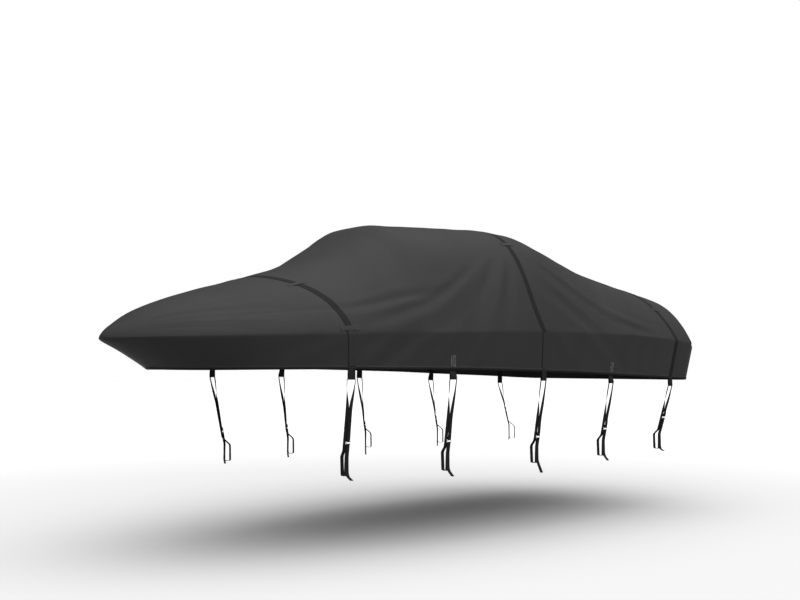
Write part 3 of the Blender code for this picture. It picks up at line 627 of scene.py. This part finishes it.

# Polypropylene webbing, woven in ribs and dyed black: almost matt, and greyer in small worn
# patches, with painted shade between its ribs.  The ribs are 1.5 mm apart, drawn at twice that to
# show.
RIB_PITCH = 0.0030
webbing, tree, shader = start_finish("black_polypropylene_webbing", {
    "Roughness": 0.80, "IOR": 1.49, "Specular IOR Level": 0.04})
place = add(tree, "TexCoord")
ribs = add(tree, "TexWave", {
    "wave_type": "BANDS", "bands_direction": "Y", "wave_profile": "SIN",
    "Scale": 2 * np.pi / 20 / RIB_PITCH, "Distortion": 0.6, "Detail": 1.0, "Detail Scale": 2.0},
    {"Vector": (place, "UV")})
# Painted shade: the ribs' valleys darker and their crests lighter, by the wave of their bump.
rib_painted_shade = add(tree, "Mix", {"data_type": "RGBA", 6: linear("#0c0c0d"), 7: linear("#19191a")},
               {0: (ribs, "Fac")})
wear = add(tree, "Mix", {"data_type": "RGBA", 7: linear("#1c1c1d")},
           {0: grain(tree, 240.0, 2.0), 6: (rib_painted_shade, 2)})
tree.links.new(wear.outputs[2], shader.inputs["Base Color"])
rib_bump = add(tree, "Bump", {"Strength": 0.5, "Distance": 0.0005}, {"Height": (ribs, "Fac")})
tree.links.new(rib_bump.outputs[0], shader.inputs["Normal"])

# A band's cross-section: places across its half width, and its share of the thickness.
BAND_ACROSS = np.array([-1.0, -0.96, -0.75, -0.4, 0.0, 0.4, 0.75, 0.96, 1.0])
BAND_FULL = np.array([0.35, 0.90, 1.0, 1.0, 1.0, 1.0, 1.0, 0.90, 0.35])


def band(name, middle, thickness, finish):
    """A closed band round a grid of its middle surface (rows along it, columns across).

    Both faces are the middle, plus and minus half the thickness along its normals.
    """
    count, columns = middle.shape[:2]
    half = grid_normal(middle) * BAND_FULL[:, None] * thickness / 2
    shell = np.concatenate([middle + half, (middle - half)[:, ::-1]], axis=1)
    across = distance_along(middle[count // 2])
    along = distance_along(middle[:, columns // 2])
    around = np.concatenate([across, across[::-1]])
    uv = np.stack(np.broadcast_arrays(around, along[:, None]), axis=-1)
    upper = np.arange(columns)
    lower = 2 * columns - 1 - upper
    first = np.stack([upper[:-1], lower[:-1], lower[1:], upper[1:]], axis=1)
    last = first[:, ::-1] + (count - 1) * 2 * columns
    faces = np.concatenate([quads(count, 2 * columns, round_rows=True), first, last])
    made = mesh_object(name, shell.reshape(-1, 3), faces, finish, uv.reshape(-1, 2), sharp=40)
    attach(made, "root")
    return made, along[-1]


def on_cover(station, side, above):
    """The cover's outer face, with the step of its hem."""
    height = (1.0 + above / SKIRT_DEPTH) * skirt_height(station)
    point = cover_point(station, side, above)
    point[..., 1] -= side * hem_relief(np.where(above < 0, height, 1.0))
    return point


strap_heights = np.concatenate([
    np.linspace(CLOTH_ABOVE_CREASE, 0.09, 90), np.linspace(0.08, -0.05, 27),
    np.linspace(-0.06, -0.232, 14), np.linspace(-0.238, -0.2685, 12)])
for name in STRAPS:
    spread = BAND_ACROSS * STRAP_WIDTH / 2
    above, offset = np.meshgrid(strap_heights, spread, indexing="ij")
    path = strap_path(name, 1.0 - np.maximum(above, 0.0) / CLOTH_ABOVE_CREASE) + offset
    port, starboard = on_cover(path, 1.0, above), on_cover(path, -1.0, above)
    middle = lifted(np.concatenate([port[::-1], starboard[1:]]), GAP + WEBBING / 2)
    strap, length = band("cross_strap_" + name, middle, WEBBING, webbing)
    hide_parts("strap_" + name)
    if name not in FACING_TOP:
        continue
    # On the skirt a facing of the cover's cloth is sewn over the strap, and hides all but
    # its forward edge.
    for hand, side in HANDS:
        lowest = -SKIRT_DEPTH * (1.0 - FACING_ABOVE_HEM / skirt_height(STRAPS[name][0]))
        facing_heights = np.linspace(FACING_TOP[name], lowest, 50)
        above, offset = np.meshgrid(facing_heights, FACING_SPREAD, indexing="ij")
        face = on_cover(STRAPS[name][0] + offset, side, above)
        face = lifted(face[::-1] if side > 0 else face, 1.5 * GAP + WEBBING + FACING / 2)
        facing_piece, length = band("strap_facing_" + name + "_" + hand, face, FACING,
                                    polyester)

# -------------------- belt loops
# Short double strips of the cover's own cloth keep the cross-straps in place: two each
# side on the bow strap, one each side on the others.  Both ends are sewn down by a box.
KEEPER_LENGTH = 0.140
KEEPER_WIDTH = 0.036
KEEPERS = {"bow_upper": ("bow", 0.555), "bow_lower": ("bow", 0.984),
           "mid": ("mid", 0.660), "aft": ("aft", 0.825)}
SEWN_BOX = (0.045, 0.066)  # from and to, measured from the middle of the loop
LOOP_SLACK = 0.0012  # between the loop and the strap
LOOP_SHOULDER = 0.042  # the loop leaves the cloth here, and rises over the next
LOOP_RISE = 0.014


def seam(corners, pitch):
    """Stitches along straight runs between corners, in a plane: rows of middle and direction."""
    corners = np.array(corners, float)
    rows = []
    for start, run in zip(corners, np.diff(corners, axis=0)):
        count = max(1, int(round(np.hypot(*run) / pitch)))
        t = (np.arange(count) + 0.5)[:, None] / count
        way = np.broadcast_to(run / np.hypot(*run), (count, 2))
        rows.append(np.concatenate([start + run * t, way], axis=1))
    return np.concatenate(rows)


def box(left, right, low, high):
    """Corners of a rectangle, back to the first."""
    return [(left, low), (right, low), (right, high), (left, high), (left, low)]


def sewn(name, surface, runs, outside, finish, pitch, width=THREAD_WIDTH):
    """Stitches along lines of a surface; its frame comes from small steps on the surface."""
    at, way = np.hsplit(np.concatenate([seam(corners, pitch) for corners in runs]), 2)
    step = 0.002
    beside = np.stack([-way[:, 1], way[:, 0]], axis=1)
    along = surface(at + step * way) - surface(at - step * way)
    across = surface(at + step * beside) - surface(at - step * beside)
    normal = unit(np.cross(along, across) * outside)
    return stitches(name, surface(at) + normal * 0.0003, along, normal, finish, 0.72 * pitch, width)


for name, (strap_name, across) in KEEPERS.items():
    for hand, side in HANDS:
        centre = float(strap_path(strap_name, across))
        level = CLOTH_ABOVE_CREASE * (1.0 - across)
        ends = on_cover(np.array(centre), side, np.array([level - 0.01, level + 0.01]))
        stretch = 0.02 / np.linalg.norm(ends[1] - ends[0])

        def loop_face(at, lift):
            """The loop at metres aft and up the cloth: low at its ends, eased over the strap."""
            steps = 0.001 * np.array([[0, 0], [1, 0], [0, 1]])
            here, aft, up = (on_cover(centre + p[..., 0], side, level + stretch * p[..., 1])
                             for p in (at + step for step in steps))
            out = unit(np.cross(aft - here, up - here) * side)
            ease = smooth((LOOP_SHOULDER - np.abs(at[..., 0])) / LOOP_RISE)
            raised = lerp(GAP, 2 * GAP + WEBBING + LOOP_SLACK, ease)
            return here + out * (raised + lift)[..., None]

        end = KEEPER_LENGTH / 2
        along = np.concatenate([np.linspace(-end, -0.045, 6), np.linspace(-0.042, 0.042, 29),
                                np.linspace(0.045, end, 6)])
        spread = -side * BAND_ACROSS * KEEPER_WIDTH / 2
        places = np.stack(np.meshgrid(along, spread, indexing="ij"), axis=-1)
        label = name + "_" + hand
        keeper, length = band("belt_loop_" + label, loop_face(places, WEBBING / 2), WEBBING,
                              polyester)
        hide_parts("keeper_" + label)
        half = KEEPER_WIDTH / 2 - 0.005
        boxes = [box(end * SEWN_BOX[0], end * SEWN_BOX[1], -half, half) for end in (-1, 1)]
        loop_stitches = sewn("belt_loop_stitches_" + label, lambda at: loop_face(at, WEBBING),
                             boxes, side, charcoal_thread, 0.007)

# -------------------- tabs
# Ten tabs of 54 mm webbing hang below the hem.  Each is folded into a loop whose ends
# are sewn outside and inside the skirt: the first, third and fifth over the ends of the
# cross-straps, and the second and fourth to the cloth by a boxed cross in grey thread.
TAB_WIDTH = 0.054
TAB_DROP = 0.072  # how far a tab hangs below the hem
TAB_HALF_LOOP = 0.009  # half the depth of its loop, to the webbing's middle
TAB_BEND = 0.0028
SEWN_TAB_TOP = 0.105  # how far up the skirt a tab reaches where it is sewn to it
STRAP_TAB_TOP = 0.018  # and where it laps a cross-strap
TIE_STATIONS = [1.390, 2.220, 3.165, 4.080, 5.075]


def resample(rows, step, blur):
    """Even steps along a polyline (by its first three columns), then a moving mean."""
    walk = distance_along(rows[:, :3])
    even = np.linspace(0.0, walk[-1], max(2, int(round(walk[-1] / step)) + 1))
    rows = np.stack([np.interp(even, walk, column) for column in rows.T], axis=1)
    pad = np.pad(rows, ((blur, blur), (0, 0)), mode="edge")
    mean = np.ones(2 * blur + 1) / (2 * blur + 1)
    eased = np.stack([np.convolve(column, mean, mode="valid") for column in pad.T], axis=1)
    eased[[0, -1]] = rows[[0, -1]]
    return eased


def hem_frame(station, side):
    """Lower edge at a tab: its middle, and level directions along it and outwards."""
    edge = on_cover(station + np.array([-0.027, 0.0, 0.027]), side, np.full(3, -SKIRT_DEPTH))
    edge[:, 1] += side * hem_relief(0.0)
    along = unit((edge[2] - edge[0]) * [1, 1, 0])
    return edge[1], along, -side * np.array([-along[1], along[0], 0.0])


for number, station in enumerate(TIE_STATIONS):
    on_strap = number % 2 == 0
    base = 1.5 * WEBBING + 2 * GAP if on_strap else -0.0075
    reach = STRAP_TAB_TOP if on_strap else SEWN_TAB_TOP
    behind = -(CLOTH + GAP + WEBBING / 2)
    inner, inner_top = (-0.0078, behind) if on_strap else (-0.0101, behind - WEBBING - GAP)
    depth = skirt_height(station)
    # Middle line of the webbing: distance outwards, height above the hem, and whether
    # the hem's step lies under it.
    front = [[base, reach, 1.0], [base, 0.0, 1.0], [base + 0.0015, -0.014, 1.0]]
    if not on_strap:
        front = [[behind, reach, 0.0], [behind, 0.027, 0.0], [base, 0.02, 0.0], [base, -0.004, 0.0]]
    loop = [[TAB_HALF_LOOP, -0.052, 0.0], [TAB_HALF_LOOP, TAB_BEND - TAB_DROP, 0.0],
            [0.0064, -TAB_DROP, 0.0], [-0.0064, -TAB_DROP, 0.0],
            [-TAB_HALF_LOOP, TAB_BEND - TAB_DROP, 0.0], [-TAB_HALF_LOOP, -0.052, 0.0]]
    back = [[inner - 0.0004, -0.012, 0.0], [inner, 0.0, 0.0], [inner, 0.016, 0.0],
            [inner_top, 0.027, 0.0], [inner_top, max(reach, 0.05), 0.0]]
    profile = resample(np.array(front + loop + back), 0.0015, 2)
    for hand, side in HANDS:
        centre, run, out = hem_frame(station, side)

        def tab_face(at, distance, step=1.0):
            """Webbing at metres aft and metres above the hem, a distance off the skirt."""
            up = np.maximum(at[..., 1], 0.0)
            point = on_cover(station + at[..., 0], side, -SKIRT_DEPTH * (1.0 - up / depth))
            point[..., 1] += side * hem_relief(up) * (1.0 - step)
            fall = np.minimum(at[..., 1], 0.0)[..., None] * [0.0, 0.0, 1.0]
            return point + out * np.asarray(distance)[..., None] + fall

        u = side * BAND_ACROSS * TAB_WIDTH / 2
        at = np.stack(np.broadcast_arrays(u, profile[:, 1:2]), axis=-1)
        middle = tab_face(at, profile[:, :1], profile[:, 2:3])
        label = f"{number + 1}_{hand}"
        tab, length = band("webbing_tab_" + label, middle, WEBBING, webbing)
        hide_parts("tab_" + label)
        w, low, high = TAB_WIDTH / 2 - 0.007, 0.026, reach - 0.006
        mid = (low + high) / 2
        if on_strap:
            lines = [[(-w, 0.0135), (w, 0.0135)], [(-w, 0.0065), (w, 0.0065)]]
            sewing, width = charcoal_thread, THREAD_WIDTH
        else:
            lines = [box(-w, w, low, high), [(-w, mid), (w, mid)], [(-w, low), (w, mid)],
                     [(w, low), (-w, mid)], [(-w, mid), (w, high)], [(w, mid), (-w, high)]]
            sewing, width = grey_thread, 0.0018
        face = base + WEBBING / 2 if on_strap else 0.0
        tab_stitches = sewn("tab_stitches_" + label, lambda p: tab_face(p, face), lines,
                            side, sewing, 0.0065, width)

# -------------------- ties
# Through each tab goes a tie of one-inch webbing.  Its two legs come together below the
# tab, the front strand is sewn round the buckle's top bar, and the rear one turns back
# in a closed foot and comes up through the buckle, where its tail hangs.
TIE_WIDTH = 0.0254
TIE_GATHERED = 0.011  # drawn together where it passes through the tab
# Heights of the merge of the legs, of the buckle and of the tail's end; lean inboard.
TIE_ROWS = [(-0.496, -0.714, -0.975, 0.130), (-0.566, -0.729, -0.985, 0.090),
            (-0.610, -0.739, -1.020, 0.090), (-0.630, -0.716, -0.985, 0.100),
            (-0.600, -0.655, -0.965, 0.135)]
TIE_BOTTOM = -0.945  # the foot's lowest point
FOOT_HEIGHT = 0.135
FOOT_DEPTH = 0.062
TIE_HEADING = np.radians(22)  # the flat of each tie faces this far towards the bow
LEG_SPREAD = 0.030
STRAND_SPREAD = 0.011
CORNER_BEND = 0.0035
STRAND_LAP = 0.0034
SEWN_END = 0.022
FOOT_BEND = 0.012
TAIL_LAP = 0.0042
BUCKLE_WIDTH = 0.036
BUCKLE_WINDOW_HEIGHT = 0.008
BUCKLE_OUTER_BAR = 0.005
BUCKLE_MIDDLE_BAR = 0.003
BUCKLE_THICKNESS = 0.003
BUCKLE_CORNER = 0.0045
BUCKLE_BAR = 0.0040  # of the frame's sides
BUCKLE_OFFSET = 0.0068  # its plane, in front of the tie's rear strand
BUCKLE_CLEARANCE = 0.0012
BAR = BUCKLE_WINDOW_HEIGHT + (BUCKLE_OUTER_BAR + BUCKLE_MIDDLE_BAR) / 2


def arc(centre_across, centre_up, radius, start, end, steps):
    """Points of a round bend, as two arrays; the angles are in degrees."""
    angle = np.radians(np.linspace(start, end, steps))
    return centre_across + radius * np.cos(angle), centre_up + radius * np.sin(angle)


def tie_route(seat, merge, buckle, tail):
    """Middle line of a tie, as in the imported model: aside, in front, height, turn, width.

    From the end sewn round the buckle's top bar up the front strand, through the tab,
    down the rear strand, round the foot, and over the buckle's lower bar to the tail.
    """
    rows = []

    def stretch(aside, front, height, turn, width=TIE_WIDTH):
        block = np.broadcast_arrays(*map(np.atleast_1d, (aside, front, height, turn, width)))
        rows.append(np.stack(block, axis=-1).astype(float))

    upper_bar, lower_bar = buckle + BAR, buckle - BAR
    fold = BUCKLE_THICKNESS / 2 + WEBBING / 2 + BUCKLE_CLEARANCE
    right, left = STRAND_SPREAD, -STRAND_SPREAD
    behind, before = BUCKLE_OFFSET - fold, BUCKLE_OFFSET + fold
    stretch(right, behind, upper_bar + SEWN_END, 0)
    stretch(right, *arc(BUCKLE_OFFSET, upper_bar - BUCKLE_OUTER_BAR / 2, fold, 180, 360, 9), 0)
    stretch(right, before, upper_bar + 1.4 * SEWN_END, 0)
    rise = np.linspace(0.0, 0.95, 12)
    corner = seat - CORNER_BEND
    eased = smooth(rise)
    stretch(lerp(right, LEG_SPREAD, eased), lerp(STRAND_LAP, 0.0, rise),
            lerp(merge, corner, rise), 90 * eased, lerp(TIE_WIDTH, TIE_GATHERED, eased))
    turn_in = LEG_SPREAD - CORNER_BEND
    aside, height = arc(turn_in, corner, CORNER_BEND, 0, 90, 5)
    stretch(aside, 0.0, height, 90, TIE_GATHERED)
    aside, height = arc(-turn_in, corner, CORNER_BEND, 90, 180, 5)
    stretch(aside, 0.0, height, 90, TIE_GATHERED)
    fall = 1.0 - rise[::-1]
    eased = smooth(fall)
    stretch(lerp(-LEG_SPREAD, left, eased), 0.0, lerp(corner, merge, fall),
            90 + 90 * eased, lerp(TIE_GATHERED, TIE_WIDTH, eased))
    back = behind - FOOT_DEPTH
    foot_top = TIE_BOTTOM + FOOT_HEIGHT
    away = np.linspace(0.0, 1.0, 7)
    stretch(lerp(left, -0.005, away), lerp(0.0, back, smooth(away)),
            lerp(foot_top + 0.055, foot_top - 0.015, away), 180)
    low = TIE_BOTTOM + FOOT_BEND
    stretch(-0.002, *arc(back + FOOT_BEND, low, FOOT_BEND, 180, 270, 7), 180)
    stretch(0.004, *arc(behind - FOOT_BEND, low, FOOT_BEND, 270, 360, 7), 180)
    stretch(right, *arc(BUCKLE_OFFSET, lower_bar + BUCKLE_OUTER_BAR / 2, fold, 180, 0, 9), 180)
    stretch(right, before, lower_bar - 0.012, 180)
    lap = behind + TAIL_LAP
    stretch(right, lap, lerp(lower_bar, TIE_BOTTOM, 0.55), 180)
    stretch(right + 0.001, lap, TIE_BOTTOM + 0.022, 180)
    stretch(right + 0.008, lap + 0.0038, TIE_BOTTOM - 0.004, 180)
    stretch(right + 0.032, lap + 0.0138, tail, 180)
    return np.concatenate(rows)


def tie_place(number, side):
    """How a tie's own measures turn into places: returns its seat and a function."""
    merge, _, _, lean = TIE_ROWS[number]
    centre, along, outward = hem_frame(TIE_STATIONS[number], side)
    centre = centre - BOW_TIP
    seat = centre[2] - TAB_DROP + WEBBING + GAP
    full_twist = TIE_HEADING - np.arctan2(-side * along[1], along[0])
    foot_top = TIE_BOTTOM + FOOT_HEIGHT

    def place(aside, front, height, turn=0.0):
        """Points, and the level direction of the tie's width there."""
        twist = full_twist * smooth((seat - height) / (seat - merge))
        width_angle = twist + np.radians(turn)
        inboard = lean * np.clip((seat - height) / (seat - foot_top), 0.0, 1.0)
        out = aside * np.sin(twist) + front * np.cos(twist) - inboard
        run = aside * np.cos(twist) - front * np.sin(twist)
        point = centre * [1, 1, 0] + run[..., None] * along + out[..., None] * outward
        point[..., 2] = height
        width = np.cos(width_angle)[..., None] * along + np.sin(width_angle)[..., None] * outward
        return point + BOW_TIP, width

    return seat, place


ties = {}
for number, row in enumerate(TIE_ROWS):
    for hand, side in HANDS:
        seat, place = tie_place(number, side)
        route = resample(tie_route(seat, *row[:3]), 0.0024, 1)
        aside, front, height, turn, width = route.T
        point, direction = place(aside, front, height, turn)
        middle = point[:, None] + (direction * width[:, None] / 2)[:, None] * BAND_ACROSS[:, None]
        label = f"{number + 1}_{hand}"
        tie, length = band("tie_webbing_" + label, middle, WEBBING, webbing)
        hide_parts("tie_" + label)
        ties[label] = (tie, length)

# -------------------- buckles
# Each tie closes in a slide buckle of nickel-plated steel: a rounded frame, cast in one
# with its middle bar, which the webbing wraps from above and from below.
# The plating is bright and a little warm; handling leaves it uneven in gloss.
nickel, tree, shader = start_finish("nickel_plated_steel", {"Metallic": 1.0})
film = grain(tree, 90.0, 3.0)
tint(tree, linear("#b9b6ae"), linear("#dad8d2"), film)
dull = add(tree, "MapRange", {1: 0.3, 2: 0.7, 3: 0.20, 4: 0.36}, {0: film})
tree.links.new(dull.outputs[0], shader.inputs["Roughness"])


ROUND = np.linspace(0.0, 2 * np.pi, 10, endpoint=False)
ROUND_COS, ROUND_SIN = np.cos(ROUND), np.sin(ROUND)


def loop_of_bar(half_width, half_height, corner, bar, thickness):
    """A closed bar along a rounded rectangle: points (x across, y up, z out) and faces.

    Its own section is a full, soft round: cosine and sine to the power 0.8, signs kept.
    """
    turn = np.linspace(0.0, np.pi / 2, 12)[:, None] + np.arange(4) * np.pi / 2
    way = np.stack([np.cos(turn), np.sin(turn)], axis=-1).swapaxes(0, 1)
    quarter = np.array([[1, 1], [-1, 1], [-1, -1], [1, -1]])
    centres = quarter * [half_width - corner, half_height - corner]
    path = (centres[:, None] + corner * way).reshape(-1, 2)
    out, off = (np.sign(wave) * np.abs(wave)**0.8 for wave in (ROUND_COS, ROUND_SIN))
    flat = path[:, None] + way.reshape(-1, 1, 2) * out[:, None] * bar / 2
    off = np.broadcast_to(off[:, None] * thickness / 2, flat.shape[:2] + (1,))
    points = np.concatenate([flat, off], axis=2).reshape(-1, 3)
    return points, quads(len(path) + 1, len(ROUND), round_rows=True) % len(points)


half = BUCKLE_WIDTH / 2 - 0.0019
frame_points, frame_faces = loop_of_bar(half, BAR, BUCKLE_CORNER, BUCKLE_BAR, BUCKLE_THICKNESS)
# The middle bar is an ellipse carried across the frame.
ring = np.stack([0 * ROUND, BUCKLE_MIDDLE_BAR / 2 * ROUND_COS, BUCKLE_THICKNESS / 2 * ROUND_SIN], 1)
bar_points = ring + np.linspace(-half, half, 4)[:, None, None] * [1.0, 0.0, 0.0]
bar_points, bar_faces = bar_points.reshape(-1, 3), quads(4, len(ROUND), round_rows=True)
buckle_points = np.concatenate([frame_points, bar_points])
buckle_faces = np.concatenate([frame_faces, bar_faces + len(frame_points)])
for number, (_, level, _, _) in enumerate(TIE_ROWS):
    for hand, side in HANDS:
        _, place = tie_place(number, side)
        seat = np.array(STRAND_SPREAD), np.array(BUCKLE_OFFSET)
        centre, width = place(*seat, np.array(level))
        above, _ = place(*seat, np.array(level + 0.01))
        up = above - centre
        up = unit(up - width * (up @ width))
        axes = np.stack([width, up, np.cross(width, up)])
        label = f"{number + 1}_{hand}"
        buckle = mesh_object("slide_buckle_" + label, centre + buckle_points @ axes, buckle_faces,
                             nickel, sharp=60)
        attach(buckle, "root")
        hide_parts("buckle_" + label)
        tie, length = ties[label]

# -------------------- studio
# A pale floor, darker under the cover as painted shade, a soft dome of light from overhead,
# and a camera at the photograph's viewing angle.
FLOOR = -2.43
CAMERA_PLACE = (-5.69188, -6.22904, -1.12652)
CAMERA_PITCH = 3.719  # degrees above level
CAMERA_HEADING = -42.0  # degrees from straight across, towards the bow
LENS = 45.0  # mm, on a 36 mm sensor
FLOOR_SIZE = 60.0

# Pale matt floor paint, its tone painted light: darker under the cover as painted shade,
# and lighter far out, so that no horizon shows.
corners = np.array([[-1, -1], [-1, 1], [1, 1], [1, -1]]) * FLOOR_SIZE
floor_paint_and_shade, tree, _ = start_finish("pale_floor_painted_shade", {"Roughness": 0.9, "Specular IOR Level": 0.1})
place = add(tree, "TexCoord")
far = add(tree, "VectorMath", {"operation": "LENGTH"}, {0: (place, "Object")})
reach = add(tree, "MapRange", {1: 5.0, 2: 12.0}, {0: (far, "Value")})
tint(tree, linear("#9e9e9e"), linear("#b2b2b2"), (reach, 0))
floor = mesh_object("floor", np.concatenate([corners, np.full((4, 1), FLOOR)], axis=1),
                    np.array([[0, 3, 2, 1]]), floor_paint_and_shade)

camera = bpy.data.objects.new("camera", bpy.data.cameras.new("camera"))
bpy.context.scene.collection.objects.link(camera)
camera.location = CAMERA_PLACE
camera.rotation_euler = np.radians([90.0 + CAMERA_PITCH, 0.0, CAMERA_HEADING])
camera.data.lens = LENS
camera.data.sensor_width = 36.0
camera.data.clip_end = 300.0
bpy.context.scene.camera = camera

# The world is white to the eye.  As light it is a soft dome, brightest overhead and
# towards port, and dim at the horizon: strength against the cosine from this axis.
DOME_AXIS = (-0.08, -0.27, 0.96)
world = bpy.data.worlds.new("studio")
world.use_nodes = True
tree = world.node_tree
sky = tree.nodes["Background"]
place = add(tree, "TexCoord")
towards = add(tree, "VectorMath", {"operation": "DOT_PRODUCT", 1: DOME_AXIS},
              {0: (place, "Generated")})
grade = add(tree, "MapRange", {
    "interpolation_type": "SMOOTHSTEP", 1: 0.35, 2: 0.95, 3: 0.10, 4: 5.0}, {0: (towards, "Value")})
seen = add(tree, "LightPath")
shown = add(tree, "Mix", {"data_type": "FLOAT", 3: 1.0},
            {0: (seen, "Is Camera Ray"), 2: (grade, 0)})
tree.links.new(shown.outputs[0], sky.inputs["Strength"])
sky.inputs["Color"].default_value = (1.0, 1.0, 1.0, 1.0)
bpy.context.scene.world = world
bpy.context.scene.view_settings.view_transform = "Standard"
